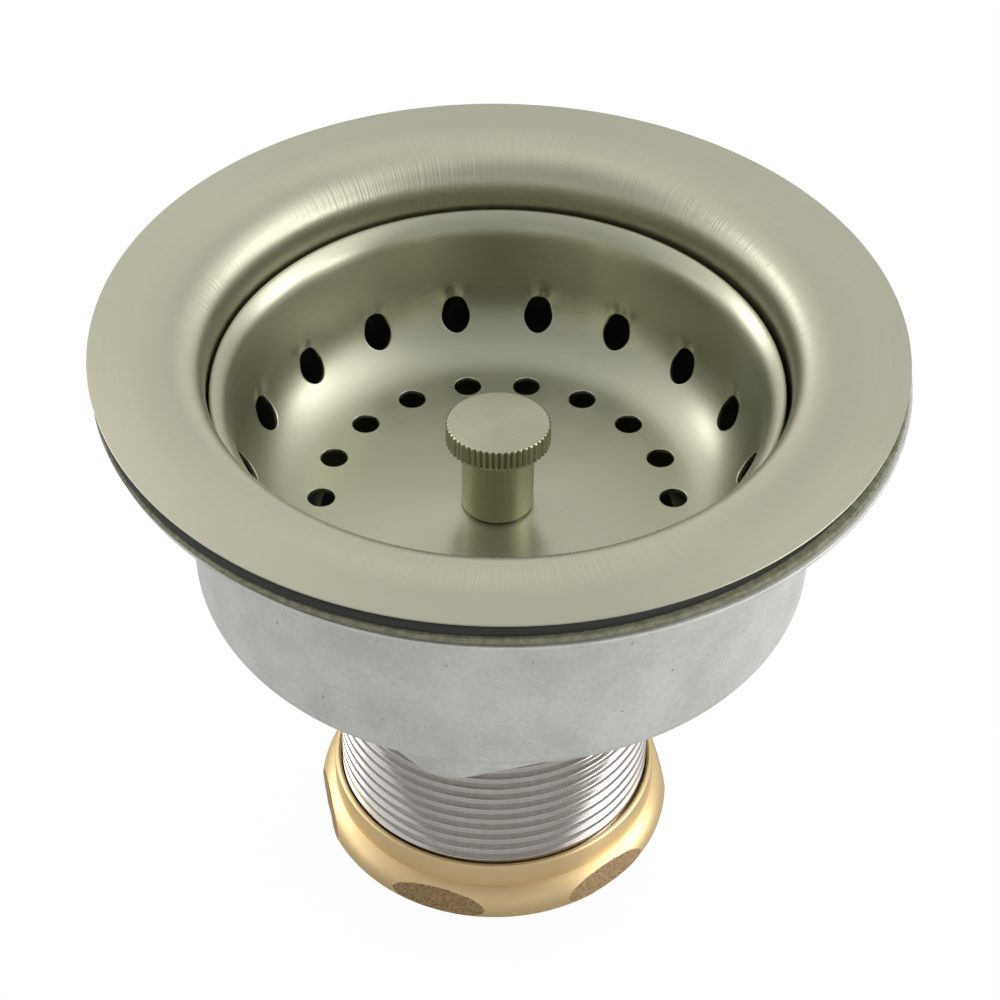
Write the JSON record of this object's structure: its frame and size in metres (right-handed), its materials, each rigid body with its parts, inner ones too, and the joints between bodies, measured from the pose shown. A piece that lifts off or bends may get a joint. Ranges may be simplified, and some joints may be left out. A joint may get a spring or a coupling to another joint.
{
  "type": "basket strainer waste",
  "caption": "Sink basket strainer waste: flanged bowl, lift-out pierced basket with knurled knob, clamping cup, lock nut and brass coupling nut on a threaded tail.",
  "frame": {"origin": "on the drain's axis at the seat plane, where the flange's underside meets the sink", "axes": "+Z along the drain's axis, up out of the sink; the camera of the picture looks along +Y and down"},
  "size_m": [0.1148, 0.1142, 0.0923],
  "materials": {
    "brushed_nickel_flange": "brushed nickel",
    "brushed_nickel_basket": "brushed nickel",
    "brushed_nickel_knob": "satin nickel",
    "plated_thread": "bright turned thread",
    "plain_steel": "plain turned steel",
    "cast_zinc": "smooth die-cast zinc",
    "cast_zinc_rough": "rough die-cast zinc",
    "brass": "turned brass",
    "black_rubber": "moulded rubber",
    "fibre": "pressed fibre"
  },
  "bodies": {
    "strainer": {"strainer_body": "brushed_nickel_flange", "threaded_tailpiece": "plated_thread", "crossbar": "plated_thread", "rubber_gasket": "black_rubber", "fibre_washer": "fibre", "clamp_cup": "cast_zinc", "lock_nut": "cast_zinc_rough"},
    "basket": {"basket_shell": "brushed_nickel_basket", "knob": "brushed_nickel_knob", "centre_stud": "plain_steel", "backing_plate": "plain_steel", "stopper": "black_rubber", "catch_post": "plain_steel", "catch_ring": "black_rubber"},
    "seal": {"tailpiece_washer": "black_rubber"},
    "nut": {"coupling_nut": "brass"}
  },
  "joints": [
    {"name": "basket_lift", "type": "slide", "parent": "strainer", "child": "basket", "axis": [0, 0, 1], "range_m": [0, 0.06]},
    {"name": "nut_travel", "type": "slide", "parent": "strainer", "child": "seal", "axis": [0, 0, -1], "range_m": [0, 0.00644]},
    {"name": "nut_spin", "type": "hinge", "parent": "seal", "child": "nut", "pos_m": [0, 0, -0.086], "axis": [0, 0, -1], "range_deg": [0, 1050]}
  ],
  "couplings": [
    {"joint": "nut_travel", "follows": "nut_spin", "m_per_rad": 0.00035152}
  ]
}
